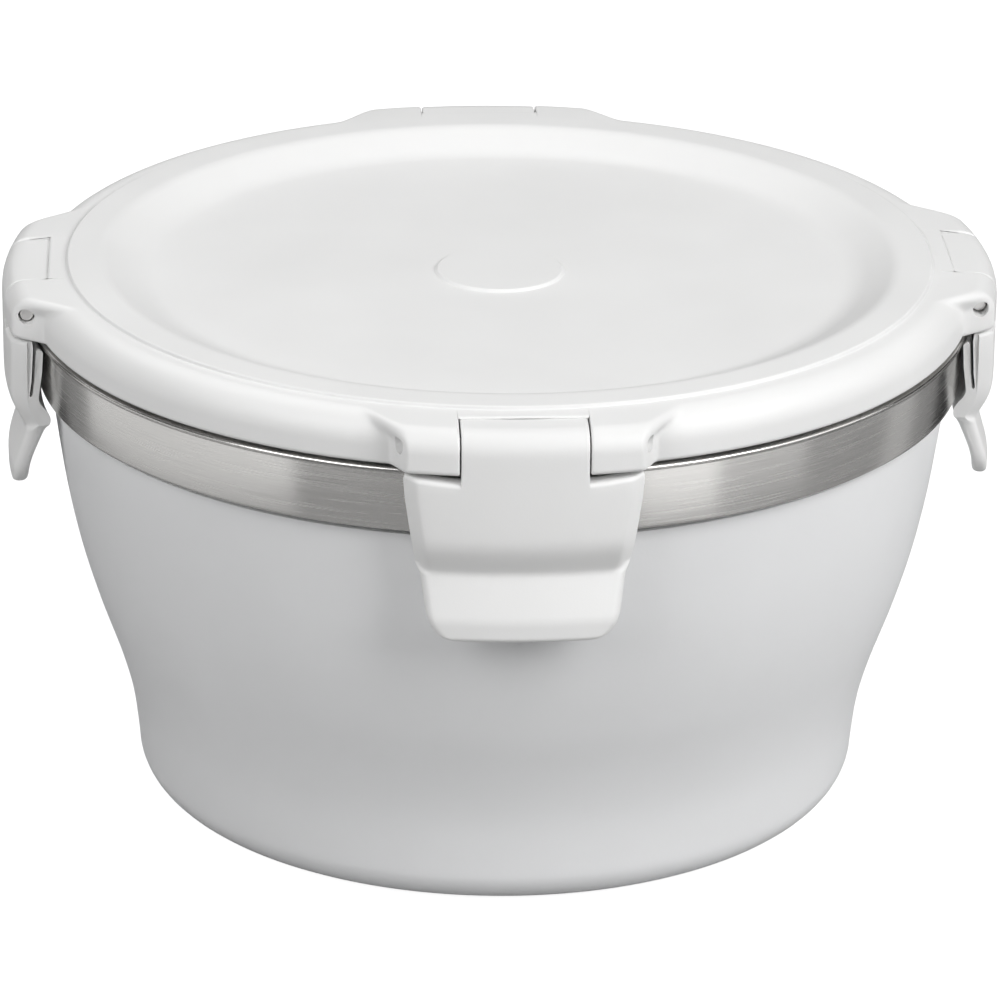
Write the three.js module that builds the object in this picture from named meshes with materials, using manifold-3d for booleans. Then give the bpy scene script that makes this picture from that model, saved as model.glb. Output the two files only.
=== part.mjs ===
// Lidded bowl: a steel inner bowl in a coated shell, closed by a lid with four pinned latches.
// Millimetres, +Z up, the base on Z = 0, the front latch on -Y.
import * as THREE from "three";
import { mergeVertices } from "three/addons/utils/BufferGeometryUtils.js";
import Module from "manifold-3d";

const wasm = await Module();
wasm.setup();

// Fits
const GAP = 0.3;
const PIN_PLAY = 0.25;
const LIP_CLEARANCE = 0.35;

// Steel inner bowl
const BAND_RADIUS = 84.5;
const BAND_BOTTOM = 79;
const BAND_WALL = 0.8;
const RIM_TOP = 90.9;
const RIM_THICKNESS = 0.9;
const LIP_REACH = 1;
const RIM_WIDTH = 8.9;
const BOWL_WALL = 0.8;
const BOWL_FLOOR = 6.5;
const BOWL_FLOOR_INSET = 29.6;
const BOWL_HEEL_INSET = 15.6;
const BOWL_HEEL_HEIGHT = 16;
const BOWL_BELLY_INSET = 5.1;
const BOWL_BELLY_HEIGHT = 46;

// Coated outer shell
const SHELL_WALL = 0.8;
const BAND_OVERHANG = 2.3;
const BELLY_INSET = 5.2;
const BELLY_HEIGHT = 57.8;
const FLANK_INSET = 10.3;
const FLANK_HEIGHT = 37.4;
const WAIST_INSET = 16;
const WAIST_HEIGHT = 20.4;
const FOOT_INSET = 17.9;
const FOOT_HEIGHT = 6.8;
const FOOT_BEND = 6.6;
const BASE_RING_WIDTH = 8;
const BASE_RECESS = 0.8;

// Lid
const LID_OVERHANG = 1;
const LID_LIFT = 0.5;
const LID_HEIGHT = 9.1;
const TOP_STEP = 0.6;
const TOP_STEP_INSET = 6.8;
const LID_WALL = 2.2;
const RECESS_DEPTH = 3.8;
const RECESS_MARGIN = 1.4;
const RECESS_RAMP = 4.4;
const EMBLEM_RADIUS = 11.6;
const EMBLEM_HEIGHT = 0.5;
const PLUG_CLEARANCE = 0.5;
const PLUG_WALL = 2;
const PLUG_DEPTH = 4.4;
const SEAL_HEIGHT = 4;
const SEAL_PROUD = 0.2;
const SEAL_WALL = 2.7;
const NOTCH_INSET = 3.5;
const RELIEF_WIDTH = 1.5;

// Ears and latches
const EAR_REACH = 5;
const EAR_HALF_WIDTH = 20.2;
const EAR_BLEND = 9;
const EAR_EDGE_LIFT = 0.6;
const BARREL_HALF_WIDTH = 10.85;
const BARREL_DROP = 0.4;
const BARREL_RADIUS = 4.6;
const PIN_INSET = 4.9;
const PIN_RADIUS = 1.25;
const PIN_RECESS = 2;
const PIN_BELOW_TOP = 3.65;
const SHOULDER_GAP = 0.9;
const LATCH_HALF_WIDTH = 20.6;
const SIDE_SLANT = 2.4;
const TAB_HALF_WIDTH = 16.6;
const CREASE_BELOW_PIN = 23.1;
const CREASE_DEPTH = 2.8;
const TAB_END_BELOW_PIN = 35.1;
const TAB_CORNER = 5;
const TAB_THICKNESS = 2.7;
const LATCH_WEB = 1.9;
const LATCH_RIM = 3;
const FINGER_THICKNESS = 1.1;
const SLIT_WIDTH = 0.6;
const SLIT_BELOW_PIN = 16.1;
const HOOK_DROP = 0.5;

const ROUND_STEPS = 48;
const LATCH_ROUND_STEPS = 64;
const SIDES = ["front", "right", "back", "left"];

// How far a cut, and a pin hole, runs past the piece that it cuts
const CUT_PAST = 5;
const HOLE_PAST = 3;

// Sizes that follow from the ones above
const mouthRadius = BAND_RADIUS - RIM_WIDTH;
const lipRadius = BAND_RADIUS + LIP_REACH;
const lipUnderside = RIM_TOP - RIM_THICKNESS;
const shellTopRadius = BAND_RADIUS - BAND_OVERHANG;
const shellTop = lipUnderside - GAP;
const footRadius = BAND_RADIUS - FOOT_INSET;
const baseRingOuter = footRadius - FOOT_BEND;
const baseRingInner = baseRingOuter - BASE_RING_WIDTH;
const lidRadius = BAND_RADIUS + LID_OVERHANG;
const lidEdge = RIM_TOP + LID_LIFT;
const lidTop = lidEdge + LID_HEIGHT;
const lidShoulder = lidTop - TOP_STEP;
const topStepRadius = lidRadius - TOP_STEP_INSET;
const plugOuter = mouthRadius - PLUG_CLEARANCE;
const plugInner = plugOuter - PLUG_WALL;
const plugEnd = RIM_TOP - PLUG_DEPTH;
const recessRim = plugInner - RECESS_MARGIN;
const recessFloorRadius = recessRim - RECESS_RAMP;
const recessFloor = lidTop - RECESS_DEPTH;
const notchBack = lidRadius - NOTCH_INSET;
const grooveOuter = notchBack - SEAL_WALL;
const sealBottom = lidEdge - SEAL_PROUD;
const earRadius = lidRadius + EAR_REACH;
const notchHalfWidth = BARREL_HALF_WIDTH + GAP;
const barrelTop = lidShoulder - BARREL_DROP;
const pinHeight = lidShoulder - PIN_BELOW_TOP;
const pinDistance = earRadius - PIN_INSET;
const pinHoleRadius = PIN_RADIUS + PIN_PLAY;
const seatRadius = BARREL_RADIUS + GAP;
const latchShoulder = lidEdge - SHOULDER_GAP;
const fingerInside = lipRadius + LIP_CLEARANCE;
const fingerOutside = fingerInside + FINGER_THICKNESS;
const rimInside = fingerOutside + SLIT_WIDTH;
const hookTop = lipUnderside - HOOK_DROP;
const creaseHeight = pinHeight - CREASE_BELOW_PIN;
const tabEnd = pinHeight - TAB_END_BELOW_PIN;
const slitBottom = pinHeight - SLIT_BELOW_PIN;

const whitePlastic = new THREE.MeshStandardMaterial({ color: 0xf1f1ef, roughness: 0.55, metalness: 0 });
const paleCoat = new THREE.MeshStandardMaterial({ color: 0xdfe2e4, roughness: 0.7, metalness: 0 });
const brushedSteel = new THREE.MeshStandardMaterial({ color: 0xb8b4ae, roughness: 0.35, metalness: 1 });
const clearSilicone = new THREE.MeshStandardMaterial({ color: 0xe6e7e6, roughness: 0.6, metalness: 0 });
const pinSteel = new THREE.MeshStandardMaterial({ color: 0xa9a7a3, roughness: 0.3, metalness: 1 });

// A closed three.js surface as a solid that can be added to or cut.
function solidFrom(geometry) {
  const bare = geometry.clone();
  bare.deleteAttribute("normal");
  bare.deleteAttribute("uv");
  const welded = mergeVertices(bare, 1e-4);
  const corners = Array.from(welded.index.array);
  const triangles = [];
  for (let first = 0; first < corners.length; first += 3) {
    const [a, b, c] = corners.slice(first, first + 3);
    if (a !== b && b !== c && c !== a) triangles.push(a, b, c);
  }
  const surface = new wasm.Mesh({
    numProp: 3,
    vertProperties: new Float32Array(welded.attributes.position.array),
    triVerts: new Uint32Array(triangles),
  });
  return new wasm.Manifold(surface);
}

function meshFrom(solid, name, material) {
  const surface = solid.getMesh();
  const geometry = new THREE.BufferGeometry();
  geometry.setAttribute("position", new THREE.BufferAttribute(surface.vertProperties, 3));
  geometry.setIndex(new THREE.BufferAttribute(surface.triVerts, 1));
  const mesh = new THREE.Mesh(geometry, material);
  mesh.name = name;
  return mesh;
}

// Turn an outline of [radius, height] points about Z; it runs anticlockwise with radius to the right.
function turned(outline, steps) {
  const points = outline.map(([radius, height]) => new THREE.Vector2(radius, height));
  const geometry = new THREE.LatheGeometry(points, steps);
  geometry.rotateX(Math.PI / 2);
  return solidFrom(geometry);
}

function turnedRing(outline, steps) {
  return turned([...outline, outline[0]], steps);
}

// Smooth points through a few [radius, height] knots.
function smooth(knots, pieces) {
  const curve = new THREE.SplineCurve(knots.map(([radius, height]) => new THREE.Vector2(radius, height)));
  return curve.getPoints(pieces).map((point) => [point.x, point.y]);
}

// A block that spans low to high on each axis.
function block(low, high) {
  const geometry = new THREE.BoxGeometry(high[0] - low[0], high[1] - low[1], high[2] - low[2]);
  geometry.translate((low[0] + high[0]) / 2, (low[1] + high[1]) / 2, (low[2] + high[2]) / 2);
  return solidFrom(geometry);
}

// A round bar along X at the hinge line of the front latch.
function hingeBar(radius, fromX, toX, steps) {
  const geometry = new THREE.CylinderGeometry(radius, radius, toX - fromX, steps);
  geometry.rotateZ(Math.PI / 2);
  geometry.translate((fromX + toX) / 2, -pinDistance, pinHeight);
  return solidFrom(geometry);
}

// A front view [x, height] outline, pushed out from the axis to the front in three lengths.
// Over the middle length its sides draw in: fully on the plate, by half on the tab.
function slantedPrism(outline, slantFrom, slantTo) {
  const shape = new THREE.Shape(outline.map(([x, height]) => new THREE.Vector2(x, height)));
  const geometry = new THREE.ExtrudeGeometry(shape, { depth: 3, steps: 3, bevelEnabled: false });
  const distances = [0, slantFrom, slantTo, earRadius + CUT_PAST];
  const insets = [0, 0, SIDE_SLANT, SIDE_SLANT];
  const position = geometry.attributes.position;
  for (let index = 0; index < position.count; index += 1) {
    const x = position.getX(index);
    const height = position.getY(index);
    const length = Math.round(position.getZ(index));
    const inset = height > creaseHeight ? insets[length] : insets[length] / 2;
    position.setXYZ(index, x - Math.sign(x) * inset, -distances[length], height);
  }
  return solidFrom(geometry);
}

function turnToSide(solid, side) {
  return solid.rotate([0, 0, 90 * side]);
}

// Steel inner bowl: smooth inside, flat rim, small lip, bare band and its inward return
function makeSteelBowl() {
  const floorRadius = mouthRadius - BOWL_FLOOR_INSET;
  const inside = smooth([
    [floorRadius, BOWL_FLOOR],
    [mouthRadius - BOWL_HEEL_INSET, BOWL_HEEL_HEIGHT],
    [mouthRadius - BOWL_BELLY_INSET, BOWL_BELLY_HEIGHT],
    [mouthRadius, plugEnd - 2],
  ], 7);
  const outside = inside.map(([radius, height]) => [radius + BOWL_WALL, height]);
  outside[0] = [floorRadius, BOWL_FLOOR - BOWL_WALL];
  outside.push([mouthRadius + BOWL_WALL, lipUnderside]);
  inside.push([mouthRadius, lipUnderside]);
  const band = [
    [BAND_RADIUS - BAND_WALL, lipUnderside],
    [BAND_RADIUS - BAND_WALL, BAND_BOTTOM + BAND_WALL],
    [shellTopRadius + GAP, BAND_BOTTOM + BAND_WALL],
    [shellTopRadius + GAP, BAND_BOTTOM],
    [BAND_RADIUS, BAND_BOTTOM],
    [BAND_RADIUS, lipUnderside],
    [lipRadius, lipUnderside],
    [lipRadius, RIM_TOP],
    [mouthRadius + BOWL_WALL / 2, RIM_TOP],
  ];
  return turned([
    [0, BOWL_FLOOR - BOWL_WALL],
    ...outside,
    ...band,
    ...inside.reverse(),
    [0, BOWL_FLOOR],
  ], ROUND_STEPS);
}

// Coated shell: base ring, rounded foot, waist and flank, and a top edge hidden inside the band
function makeShell() {
  const flank = smooth([
    [footRadius, FOOT_HEIGHT],
    [BAND_RADIUS - WAIST_INSET, WAIST_HEIGHT],
    [BAND_RADIUS - FLANK_INSET, FLANK_HEIGHT],
    [BAND_RADIUS - BELLY_INSET, BELLY_HEIGHT],
    [shellTopRadius, BAND_BOTTOM],
  ], 8);
  const inside = flank.map(([radius, height]) => [radius - SHELL_WALL, height]).reverse();
  return turned([
    [0, BASE_RECESS],
    [baseRingInner - BASE_RECESS, BASE_RECESS],
    [baseRingInner, 0],
    [baseRingOuter, 0],
    [baseRingOuter + 0.5 * FOOT_BEND, 0.134 * FOOT_HEIGHT],
    [baseRingOuter + 0.866 * FOOT_BEND, 0.5 * FOOT_HEIGHT],
    ...flank,
    [shellTopRadius, shellTop],
    [shellTopRadius - SHELL_WALL, shellTop],
    ...inside,
    [baseRingOuter + 0.866 * FOOT_BEND - SHELL_WALL, 0.5 * FOOT_HEIGHT + 0.5 * SHELL_WALL],
    [baseRingOuter, SHELL_WALL],
    [baseRingInner, SHELL_WALL],
    [baseRingInner - BASE_RECESS, BASE_RECESS + SHELL_WALL],
    [0, BASE_RECESS + SHELL_WALL],
  ], ROUND_STEPS);
}

// Share of an ear in the lid's side at a bearing: one at the ear, then blending away to nothing
function earShare(bearing, blend) {
  const quarter = Math.PI / 2;
  const fromEar = Math.abs(bearing - quarter * Math.round(bearing / quarter)) * earRadius;
  return 1 - THREE.MathUtils.smoothstep(fromEar, EAR_HALF_WIDTH, EAR_HALF_WIDTH + blend);
}

// Bearings for the lid: close together where the ears blend into the round, wide apart elsewhere
function lidBearings() {
  const earEdge = EAR_HALF_WIDTH / earRadius;
  const blend = EAR_BLEND / earRadius;
  const roundStart = earEdge + blend;
  const plain = Math.PI / 4 - roundStart;
  const half = [0, earEdge / 2, earEdge];
  for (const part of [0.12, 0.3, 0.6, 1]) half.push(earEdge + part * blend);
  for (const part of [0.25, 0.5, 0.75, 1]) half.push(roundStart + part * plain);
  const whole = [...half.slice(1, -1).reverse().map((bearing) => -bearing), ...half];
  return [0, 1, 2, 3].flatMap((side) => whole.map((bearing) => bearing + side * Math.PI / 2));
}

// Lid body: the outline is turned like a lathe and its side swells into an ear at each latch.
function makeLidBody() {
  const grooveTop = sealBottom + SEAL_HEIGHT + GAP;
  const underside = recessFloor - LID_WALL;
  const reliefTop = lidShoulder - LID_WALL;
  const skirtInner = notchBack + RELIEF_WIDTH;
  const still = (radius, height) => ({ radius, height, reach: 0, blend: 1, lift: 0 });
  const swelling = (inset, height, share, blend, lift = 0) => ({
    radius: lidRadius - inset,
    height,
    reach: EAR_REACH * share,
    blend,
    lift,
  });
  const outline = [
    still(0, underside),
    still(recessFloorRadius, underside),
    still(recessRim, lidTop - LID_WALL),
    still(plugInner, lidTop - LID_WALL),
    still(plugInner, plugEnd),
    still(plugOuter, plugEnd),
    still(plugOuter, grooveTop),
    still(grooveOuter, grooveTop),
    still(grooveOuter, lidEdge),
    still(notchBack, lidEdge),
    still(notchBack, reliefTop),
    still(skirtInner, reliefTop),
    still(skirtInner, lidEdge),
    swelling(0.8, lidEdge, 0.86, 0.3 * EAR_BLEND, EAR_EDGE_LIFT),
    swelling(0.15, lidEdge + 0.4, 0.94, 0.3 * EAR_BLEND, EAR_EDGE_LIFT),
    swelling(0, lidEdge + 1.5, 1, 0.3 * EAR_BLEND),
    swelling(0.2, lidShoulder - 4.1, 1.02, 0.3 * EAR_BLEND),
    swelling(0.6, lidShoulder - 2.5, 1.02, 0.4 * EAR_BLEND),
    swelling(1.6, lidShoulder - 1.1, 0.95, 0.75 * EAR_BLEND),
    swelling(3.1, lidShoulder - 0.3, 0.76, EAR_BLEND),
    still(topStepRadius + 0.3, lidShoulder),
    still(topStepRadius - 0.1, lidTop),
    still(recessRim, lidTop),
    still(recessRim - 1, lidTop - 0.12 * RECESS_DEPTH),
    still(recessFloorRadius + 1, recessFloor + 0.12 * RECESS_DEPTH),
    still(recessFloorRadius, recessFloor),
    still(EMBLEM_RADIUS, recessFloor),
    still(EMBLEM_RADIUS - EMBLEM_HEIGHT, recessFloor + EMBLEM_HEIGHT),
    still(0, recessFloor + EMBLEM_HEIGHT),
  ];
  const bearings = lidBearings();
  const flatOutline = outline.map((point) => new THREE.Vector2(point.radius, point.height));
  const geometry = new THREE.LatheGeometry(flatOutline, bearings.length);
  const position = geometry.attributes.position;
  for (let spoke = 0; spoke <= bearings.length; spoke += 1) {
    const bearing = bearings[spoke % bearings.length];
    outline.forEach((point, step) => {
      const share = earShare(bearing, point.blend);
      const radius = point.radius + point.reach * share;
      const height = point.height + point.lift * share;
      const index = spoke * outline.length + step;
      position.setXYZ(index, radius * Math.cos(bearing), radius * Math.sin(bearing), height);
    });
  }
  return solidFrom(geometry);
}

// Lid: each ear is notched for the latch barrel, with a round seat behind it, and drilled for the pin.
function makeLid() {
  const notch = block(
    [-notchHalfWidth, -earRadius - CUT_PAST, lidEdge - CUT_PAST],
    [notchHalfWidth, -notchBack, lidTop + CUT_PAST],
  );
  const seat = hingeBar(seatRadius, -notchHalfWidth, notchHalfWidth, 32);
  const pinHole = hingeBar(pinHoleRadius, -EAR_HALF_WIDTH - HOLE_PAST, EAR_HALF_WIDTH + HOLE_PAST, 16);
  const cut = notch.add(seat).add(pinHole);
  return SIDES.reduce((lid, name, side) => lid.subtract(turnToSide(cut, side)), makeLidBody());
}

function makeSeal() {
  const inner = plugOuter + GAP;
  const outer = grooveOuter - GAP;
  return turnedRing([
    [inner, sealBottom + 0.5],
    [inner + 0.5, sealBottom],
    [outer - 0.5, sealBottom],
    [outer, sealBottom + 0.5],
    [outer, sealBottom + SEAL_HEIGHT],
    [inner, sealBottom + SEAL_HEIGHT],
  ], ROUND_STEPS);
}

// Latch: barrel, plate with deep side rims, a hook finger folded up behind it, a crease and a pull tab
function makeLatch() {
  const creaseRadius = earRadius - CREASE_DEPTH;
  const tabRise = creaseHeight - tabEnd;
  const section = [
    [earRadius, latchShoulder],
    [earRadius - 0.5, latchShoulder],
    [rimInside, latchShoulder],
    [rimInside, slitBottom + 0.6],
    [(rimInside + fingerOutside) / 2, slitBottom],
    [fingerOutside, slitBottom + 0.6],
    [fingerOutside, hookTop],
    [fingerInside, hookTop],
    [fingerInside + 0.2, slitBottom - 1],
    [fingerInside, creaseHeight + 1.5],
    [creaseRadius - 0.7 * TAB_THICKNESS + 0.2, creaseHeight - 0.2 * tabRise],
    [creaseRadius + 2.1 - TAB_THICKNESS, creaseHeight - 0.6 * tabRise],
    [creaseRadius + 2 - 0.8 * TAB_THICKNESS, creaseHeight - 0.9 * tabRise],
    [creaseRadius + 1.2, tabEnd],
    [creaseRadius + 1.9, tabEnd + 0.1 * tabRise],
    [creaseRadius + 2.2, creaseHeight - 0.7 * tabRise],
    [creaseRadius + 1.5, creaseHeight - 0.35 * tabRise],
    [creaseRadius, creaseHeight],
    [creaseRadius + 0.3 * CREASE_DEPTH, creaseHeight + 1.6],
    [creaseRadius + 0.7 * CREASE_DEPTH, creaseHeight + 3.7],
    [creaseRadius + 0.93 * CREASE_DEPTH, creaseHeight + 5.9],
    [earRadius, creaseHeight + 8.5],
  ];
  const plateEdge = [
    [LATCH_HALF_WIDTH, latchShoulder],
    [LATCH_HALF_WIDTH - 0.5, latchShoulder - 5.5],
    [LATCH_HALF_WIDTH - 1.5, creaseHeight + 6],
    [LATCH_HALF_WIDTH - 2.2, creaseHeight + 1.5],
    [LATCH_HALF_WIDTH - 3, creaseHeight - 0.8],
    [TAB_HALF_WIDTH, tabEnd + TAB_CORNER],
    [TAB_HALF_WIDTH - 0.13 * TAB_CORNER, tabEnd + 0.5 * TAB_CORNER],
    [TAB_HALF_WIDTH - 0.5 * TAB_CORNER, tabEnd + 0.13 * TAB_CORNER],
    [TAB_HALF_WIDTH - TAB_CORNER, tabEnd],
  ];
  const otherEdge = plateEdge.map(([x, height]) => [-x, height]);
  const slantFrom = Math.sqrt(rimInside ** 2 - LATCH_HALF_WIDTH ** 2);
  const slantTo = Math.sqrt(earRadius ** 2 - (LATCH_HALF_WIDTH - SIDE_SLANT) ** 2);
  const frontView = slantedPrism([...plateEdge.toReversed(), ...otherEdge], slantFrom, slantTo);
  const plate = turnedRing(section, LATCH_ROUND_STEPS).intersect(frontView);

  const webInside = earRadius - LATCH_WEB;
  const pocketRing = turnedRing([
    [rimInside - SLIT_WIDTH / 2, slitBottom + 1.2],
    [webInside, slitBottom + 1.2],
    [webInside, latchShoulder + CUT_PAST],
    [rimInside - SLIT_WIDTH / 2, latchShoulder + CUT_PAST],
  ], LATCH_ROUND_STEPS);
  const pocketHalf = LATCH_HALF_WIDTH - LATCH_RIM;
  const pocket = pocketRing.intersect(
    block([-pocketHalf, -earRadius, slitBottom], [pocketHalf, 0, latchShoulder + CUT_PAST]),
  );

  const neck = block(
    [-BARREL_HALF_WIDTH, -earRadius - 2, latchShoulder - 2],
    [BARREL_HALF_WIDTH, -webInside, pinHeight],
  );
  const crown = block(
    [-BARREL_HALF_WIDTH, -earRadius - 2, pinHeight],
    [BARREL_HALF_WIDTH, -pinDistance, lidTop],
  );
  const earForm = turned([
    [0, tabEnd],
    [earRadius, tabEnd],
    [earRadius, lidShoulder - 4.1],
    [earRadius - 0.5, lidShoulder - 2.5],
    [earRadius - 1.85, lidShoulder - 1.1],
    [earRadius - 4.3, barrelTop],
    [0, barrelTop],
  ], LATCH_ROUND_STEPS);
  const barrel = hingeBar(BARREL_RADIUS, -BARREL_HALF_WIDTH, BARREL_HALF_WIDTH, 32)
    .add(neck)
    .add(crown)
    .intersect(earForm);
  const pinHole = hingeBar(pinHoleRadius, -LATCH_HALF_WIDTH, LATCH_HALF_WIDTH, 16);
  return plate.subtract(pocket).add(barrel).subtract(pinHole);
}

function makePin() {
  return hingeBar(PIN_RADIUS, PIN_RECESS - EAR_HALF_WIDTH, EAR_HALF_WIDTH - GAP, 16);
}

const bowl = new THREE.Group();
bowl.add(meshFrom(makeSteelBowl(), "steel_bowl", brushedSteel));
bowl.add(meshFrom(makeShell(), "outer_shell", paleCoat));
bowl.add(meshFrom(makeLid(), "lid", whitePlastic));
bowl.add(meshFrom(makeSeal(), "lid_seal", clearSilicone));
const latch = makeLatch();
const pin = makePin();
SIDES.forEach((name, side) => {
  bowl.add(meshFrom(turnToSide(latch, side), `latch_${name}`, whitePlastic));
  bowl.add(meshFrom(turnToSide(pin, side), `pin_${name}`, pinSteel));
});

export default bowl;
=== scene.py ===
# %% [markdown]
# # A lidded bowl with four pinned latches
# The bowl is a steel inner bowl in a coated shell. A white lid closes it, and four latches
# hang from the lid on steel pins and hook at the lip of the steel.
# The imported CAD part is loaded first. It fixes every place and size, and the smooth pieces
# below are worked out as surfaces in the same frame, in millimetres, and then put into Blender
# in metres.

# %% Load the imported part
import math

import bmesh
import bpy
import numpy as np
from mathutils import Matrix


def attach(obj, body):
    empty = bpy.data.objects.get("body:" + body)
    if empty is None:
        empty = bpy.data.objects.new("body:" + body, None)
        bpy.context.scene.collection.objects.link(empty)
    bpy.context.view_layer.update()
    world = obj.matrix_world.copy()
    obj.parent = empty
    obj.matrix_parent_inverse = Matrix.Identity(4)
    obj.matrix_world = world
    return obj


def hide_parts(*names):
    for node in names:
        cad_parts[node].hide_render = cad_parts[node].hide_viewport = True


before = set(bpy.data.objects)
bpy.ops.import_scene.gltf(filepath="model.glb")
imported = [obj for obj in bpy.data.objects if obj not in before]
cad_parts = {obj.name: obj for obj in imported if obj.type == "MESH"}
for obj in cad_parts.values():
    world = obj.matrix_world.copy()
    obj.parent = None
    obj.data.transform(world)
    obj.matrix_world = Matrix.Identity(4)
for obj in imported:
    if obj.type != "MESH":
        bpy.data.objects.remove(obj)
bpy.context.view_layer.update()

SIDES = ("front", "right", "back", "left")
print("nodes:", sorted(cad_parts))

# %% [markdown]
# ## From a grid of points to a mesh
# Nearly every piece here is a grid: one direction runs along an outline, the other runs round
# the bowl or across a latch. A modeller would spin or extrude a curve by hand; a grid of numbers
# gives the same faces and keeps each size in one place. Points that fall together, such as
# those on the axis, are merged afterwards, so poles and seams are closed.

# %% The grid helper
MM = 0.001
MERGE_WITHIN, TOO_SHORT = 0.002 * MM, 0.001 * MM
SHARP_FROM = math.radians(40)


def smooth(mesh):
    """Smooth shading all over, except at edges where the surface turns by more than SHARP_FROM."""
    mesh.shade_smooth()
    mesh.set_sharp_from_angle(angle=SHARP_FROM)


def grid_piece(name, points, closed_rows=False, closed_columns=True, caps=()):
    """A mesh from points[row, column] in millimetres. Each face joins four neighbours, the
    closed directions wrap round, and caps lists the rows of the faces that fill both ends."""
    rows, columns = points.shape[:2]
    index = np.arange(rows * columns).reshape(rows, columns)
    next_row = np.roll(index, -1, axis=0)
    next_column = np.roll(index, -1, axis=1)
    across = np.roll(next_row, -1, axis=1)
    last_row = rows if closed_rows else rows - 1
    last_column = columns if closed_columns else columns - 1
    quads = np.stack([index, next_column, across, next_row], axis=-1)[:last_row, :last_column]
    faces = quads.reshape(-1, 4).tolist()
    for cap in caps:
        faces.append(index[cap, 0].tolist())
        faces.append(index[cap[::-1], -1].tolist())
    mesh = bpy.data.meshes.new(name)
    mesh.from_pydata((points.reshape(-1, 3) * MM).tolist(), [], faces)
    tidy = bmesh.new()
    tidy.from_mesh(mesh)
    bmesh.ops.remove_doubles(tidy, verts=tidy.verts, dist=MERGE_WITHIN)
    bmesh.ops.dissolve_degenerate(tidy, edges=tidy.edges, dist=TOO_SHORT)
    ends = [face for face in tidy.faces if len(face.verts) > 4]
    bmesh.ops.triangulate(tidy, faces=ends, ngon_method="EAR_CLIP")
    tidy.to_mesh(mesh)
    tidy.free()
    smooth(mesh)
    piece = bpy.data.objects.new(name, mesh)
    bpy.context.scene.collection.objects.link(piece)
    return piece


def settle(piece, body, node):
    """The piece moves with a body and stands for a CAD node, which is hidden."""
    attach(piece, body)
    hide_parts(node)
    print(piece.name, "has", len(piece.data.polygons), "faces and stands for", node)


print("points closer than", MERGE_WITHIN, "m are merged")

# %% [markdown]
# ## Outlines with rounded corners
# Pressed steel and moulded plastic have no knife edges. Each outline below is a list of
# corners, and every corner has its own rounding. A short guard length on both sides of an arc
# keeps the long flat faces flat when Blender smooths the shading.

# %% The outline helpers
GUARD = 0.25


def rounded(corners, arc_steps=6):
    """Corners are (radius, height, rounding). At each one an arc touches both sides: it starts
    rounding / tan(half the corner's angle) before the corner and turns until the sides meet."""
    path = np.array([corner[:2] for corner in corners], float)
    out = [path[:1]]
    for before, here, after, corner in zip(path, path[1:], path[2:], corners[1:]):
        if corner[2] <= 0:
            out.append(here[None])
            continue
        to_before = (before - here) / np.linalg.norm(before - here)
        to_after = (after - here) / np.linalg.norm(after - here)
        half = math.acos(np.clip(to_before @ to_after, -1, 1)) / 2
        reach = corner[2] / math.tan(half)
        middle = (to_before + to_after) / np.linalg.norm(to_before + to_after)
        centre = here + middle * corner[2] / math.sin(half)
        start = here + to_before * reach - centre
        end = here + to_after * reach - centre
        turn = math.acos(np.clip(start @ end / corner[2] ** 2, -1, 1))
        share = np.linspace(0, 1, arc_steps + 1)[:, None]
        arc = (np.sin((1 - share) * turn) * start + np.sin(share * turn) * end) / math.sin(turn)
        out.append(here[None] + to_before * (reach + GUARD))
        out.append(centre + arc)
        out.append(here[None] + to_after * (reach + GUARD))
    out.append(path[-1:])
    return np.concatenate(out)


def spline(knots, steps):
    """A smooth curve through the knots: between two knots it is the cubic whose slope at each
    knot is half the way from the knot before to the knot after (Catmull-Rom)."""
    knots = np.asarray(knots, float)
    padded = np.concatenate([2 * knots[:1] - knots[1:2], knots, 2 * knots[-1:] - knots[-2:-1]])
    share = np.linspace(0, len(knots) - 1, steps)
    first = np.minimum(share.astype(int), len(knots) - 2)
    u = (share - first)[:, None]
    a, b, c, d = (padded[first + k] for k in range(4))
    return 0.5 * (2 * b + (c - a) * u + (2 * a - 5 * b + 4 * c - d) * u**2
                  + (3 * b - a - 3 * c + d) * u**3)


def turned(name, outline, columns=288):
    """Every outline point goes once round the upright axis: x = r sin a, y = r cos a, z = h."""
    angle = -np.linspace(0, 2 * np.pi, columns, endpoint=False)
    radius, height = outline[:, :1], outline[:, 1:]
    points = np.stack([radius * np.sin(angle), radius * np.cos(angle),
                       np.repeat(height, columns, axis=1)], axis=-1)
    return grid_piece(name, points)


square_corner = rounded([(0, 0, 0), (5, 0, 1), (5, 5, 0)])
print("a square corner with its arc and guards has", len(square_corner), "points")

# %% [markdown]
# ## The steel inner bowl
# The bare band under the lid belongs to the steel inner bowl: the sheet comes up inside, turns
# over a flat rim with a small lip, and drops again as the band. It is drawn as one closed
# outline and turned, the way the real one is spun from sheet. The band swells by a fifth of a
# millimetre at mid height, so that its reflections shade off towards both edges.

# %% Turn the steel bowl
RIM_TOP, LIP_UNDER, LIP_RADIUS = 90.9, 90.0, 85.5
BAND_RADIUS, BAND_BOTTOM, BAND_INSIDE = 84.5, 79.0, 83.7
BAND_MIDDLE, BAND_HALF, BAND_SWELL = 84.5, 5.5, 0.18
MOUTH_RADIUS, MOUTH_HEIGHT, STEEL = 75.6, 84.5, 0.8
BOTTOM_RADIUS, BOTTOM_HEIGHT = 46, 6.5
bowl_curve = spline([(BOTTOM_RADIUS, BOTTOM_HEIGHT), (60, 16), (70.5, 46),
                     (MOUTH_RADIUS, MOUTH_HEIGHT)], 60)
bowl_outside = bowl_curve + (STEEL, 0)
bowl_outside[0] = (BOTTOM_RADIUS, BOTTOM_HEIGHT - STEEL)
band_height = np.linspace(BAND_BOTTOM + 1, LIP_UNDER - 1, 10)
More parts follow.
